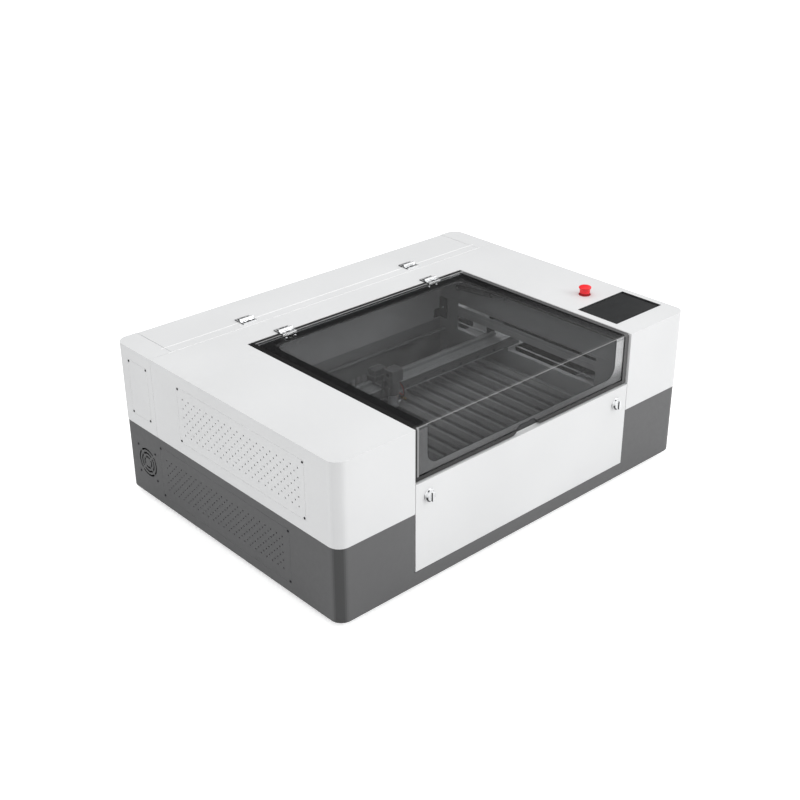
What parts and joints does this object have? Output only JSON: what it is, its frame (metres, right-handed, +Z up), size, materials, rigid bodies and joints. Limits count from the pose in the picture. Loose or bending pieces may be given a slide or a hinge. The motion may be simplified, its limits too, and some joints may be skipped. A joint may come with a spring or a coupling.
{
  "type": "laser engraver",
  "caption": "Desktop laser engraver: two-tone steel cabinet with smoked lid, drop-down front door, rear tube compartment, gantry with focusing head, lifting slat table.",
  "frame": {"origin": "on the floor, at the centre of the four foot bolts, which is the centre of the cabinet's plan", "axes": "+X to the operator's right along the cabinet's width, -Y to the front door and the operator, +Z up"},
  "size_m": [1.1018, 0.8418, 0.4134],
  "materials": {
    "alu": "satin anodised aluminium",
    "black_plastic": "matte moulded plastic",
    "black_rubber": "matte black rubber",
    "black_screw": "blackened steel",
    "board_green": "coated circuit board",
    "brass_metal": "turned brass",
    "chamber_paint": "matte grey powder coat",
    "chrome_metal": "polished chrome",
    "galvanised": "galvanised sheet",
    "grey_paint": "fine-textured mid-grey powder coat",
    "lid_paint": "satin black powder coat",
    "motor_black": "satin black motor housing",
    "pan_zinc": "zinc-plated sheet",
    "red_plastic": "glossy red plastic",
    "screen_glass": "glossy dark display window",
    "smoked_acrylic": "smoked clear acrylic, polished",
    "steel": "ground steel",
    "tube_glass": "clear borosilicate glass",
    "white_paint": "fine-textured white powder coat"
  },
  "bodies": {
    "case": {"lower_case": "grey_paint", "base_plate": "pan_zinc", "upper_case": "white_paint", "rear_housing": "white_paint", "hinge_strip": "white_paint", "chamber_walls": "chamber_paint", "rear_bulkhead": "chamber_paint", "upper_vent_panel": "white_paint", "lower_vent_panels": "grey_paint", "tube_end_covers": "white_paint", "panel_screws": "black_screw", "feet": "black_rubber", "display_housing": "black_plastic", "display_glass": "screen_glass", "fixed_hinge_leaves": "chrome_metal", "hinge_pins": "steel", "estop_body": "black_plastic", "intake_fan_frame": "black_plastic", "exhaust_fan_frame": "black_plastic", "exhaust_spigot": "galvanised", "power_inlet": "black_plastic", "hose_fittings": "brass_metal", "laser_tube": "tube_glass", "tube_holders": "black_plastic", "mirror_one": "alu", "y_rails": "alu", "drive_belts": "black_rubber", "case_motors": "motor_black", "laser_power_supply": "galvanised", "control_boards": "board_green"},
    "lid": {"lid_frame": "lid_paint", "lid_window": "smoked_acrylic", "lid_hinge_leaves": "chrome_metal"},
    "rear_cover": {"tube_cover": "white_paint", "cover_hinge_leaves": "chrome_metal"},
    "door": {"front_door": "white_paint"},
    "knob_left": {"door_knob_left": "chrome_metal"},
    "knob_right": {"door_knob_right": "chrome_metal"},
    "strut_lower": {"strut_cylinders": "black_plastic"},
    "strut_upper": {"strut_rods": "steel"},
    "stop_plunger": {"estop_plunger": "black_plastic"},
    "stop_head": {"estop_head": "red_plastic"},
    "intake_rotor": {"intake_fan_rotor": "black_plastic"},
    "exhaust_rotor": {"exhaust_fan_rotor": "black_plastic"},
    "rocker": {"power_rocker": "red_plastic"},
    "gantry": {"gantry_beam": "alu", "gantry_carriages": "alu", "x_rail": "steel", "mirror_two": "alu", "x_belt": "black_rubber", "x_motor": "motor_black"},
    "head": {"head_carriage": "alu"},
    "focus": {"focus_tube": "alu"},
    "drive_shaft": {"y_drive_shaft": "steel"},
    "table": {"table_frame": "alu", "table_slats": "alu"},
    "screw_front_left": {"lift_screw_front_left": "steel"},
    "screw_front_right": {"lift_screw_front_right": "steel"},
    "screw_rear_left": {"lift_screw_rear_left": "steel"},
    "screw_rear_right": {"lift_screw_rear_right": "steel"}
  },
  "joints": [
    {"name": "lid_hinge", "type": "hinge", "parent": "case", "child": "lid", "pos_m": [0, 0.166, 0.3956], "axis": [-1, 0, 0], "range_deg": [0, 70]},
    {"name": "strut_swing", "type": "hinge", "parent": "case", "child": "strut_lower", "pos_m": [0, 0.151, 0.3516], "axis": [-1, 0, 0], "range_deg": [0, 64.7]},
    {"name": "strut_extend", "type": "slide", "parent": "strut_lower", "child": "strut_upper", "axis": [0, -0.9941, 0.1084], "range_m": [0, 0.0503]},
    {"name": "rear_cover_hinge", "type": "hinge", "parent": "case", "child": "rear_cover", "pos_m": [0, 0.278, 0.3956], "axis": [1, 0, 0], "range_deg": [0, 95]},
    {"name": "door_hinge", "type": "hinge", "parent": "case", "child": "door", "pos_m": [0, -0.391, 0.054], "axis": [1, 0, 0], "range_deg": [0, 90]},
    {"name": "knob_left_turn", "type": "hinge", "parent": "door", "child": "knob_left", "pos_m": [-0.3025, -0.395, 0.2246], "axis": [0, 1, 0], "range_deg": [0, 90]},
    {"name": "knob_right_turn", "type": "hinge", "parent": "door", "child": "knob_right", "pos_m": [0.3025, -0.395, 0.2246], "axis": [0, -1, 0], "range_deg": [0, 90]},
    {"name": "stop_press", "type": "slide", "parent": "case", "child": "stop_plunger", "axis": [0, 0, -1], "range_m": [0, 0.004], "stiffness_N_per_m": 2000},
    {"name": "stop_twist", "type": "hinge", "parent": "stop_plunger", "child": "stop_head", "pos_m": [0.449, -0.1635, 0.391], "axis": [0, 0, 1], "range_deg": [0, 45]},
    {"name": "intake_fan_spin", "type": "hinge", "parent": "case", "child": "intake_rotor", "pos_m": [-0.53, 0.3044, 0.104], "axis": [1, 0, 0], "continuous": true},
    {"name": "exhaust_fan_spin", "type": "hinge", "parent": "case", "child": "exhaust_rotor", "pos_m": [0, 0.37, 0.104], "axis": [0, 1, 0], "continuous": true},
    {"name": "power_rocker_tilt", "type": "hinge", "parent": "case", "child": "rocker", "pos_m": [0.42, 0.3908, 0.094], "axis": [1, 0, 0], "range_deg": [0, 14]},
    {"name": "gantry_travel", "type": "slide", "parent": "case", "child": "gantry", "axis": [0, 1, 0], "range_m": [-0.29, 0.11]},
    {"name": "head_travel", "type": "slide", "parent": "gantry", "child": "head", "axis": [1, 0, 0], "range_m": [-0.235, 0.361]},
    {"name": "focus_travel", "type": "slide", "parent": "head", "child": "focus", "axis": [0, 0, 1], "range_m": [-0.005, 0.008]},
    {"name": "drive_shaft_spin", "type": "hinge", "parent": "case", "child": "drive_shaft", "pos_m": [0, 0.224, 0.206], "axis": [-1, 0, 0], "range_deg": [-1716, 652]},
    {"name": "table_lift", "type": "slide", "parent": "case", "child": "table", "axis": [0, 0, 1], "range_m": [-0.1, 0.002]},
    {"name": "lift_front_left_turn", "type": "hinge", "parent": "case", "child": "screw_front_left", "pos_m": [-0.3, -0.305, 0.1], "axis": [0, 0, 1], "range_deg": [-95, 4510]},
    {"name": "lift_front_right_turn", "type": "hinge", "parent": "case", "child": "screw_front_right", "pos_m": [0.3, -0.305, 0.1], "axis": [0, 0, 1], "range_deg": [-95, 4510]},
    {"name": "lift_rear_left_turn", "type": "hinge", "parent": "case", "child": "screw_rear_left", "pos_m": [-0.3, 0.165, 0.1], "axis": [0, 0, 1], "range_deg": [-95, 4510]},
    {"name": "lift_rear_right_turn", "type": "hinge", "parent": "case", "child": "screw_rear_right", "pos_m": [0.3, 0.165, 0.1], "axis": [0, 0, 1], "range_deg": [-95, 4510]}
  ],
  "couplings": [
    {"joint": "strut_swing", "follows": "lid_hinge", "ratio": 0.9229},
    {"joint": "strut_extend", "follows": "lid_hinge", "m_per_rad": 0.041138},
    {"joint": "drive_shaft_spin", "follows": "gantry_travel", "rad_per_m": 103.09},
    {"joint": "lift_front_left_turn", "follows": "table_lift", "rad_per_m": -785.4},
    {"joint": "lift_front_right_turn", "follows": "table_lift", "rad_per_m": -785.4},
    {"joint": "lift_rear_left_turn", "follows": "table_lift", "rad_per_m": -785.4},
    {"joint": "lift_rear_right_turn", "follows": "table_lift", "rad_per_m": -785.4}
  ]
}
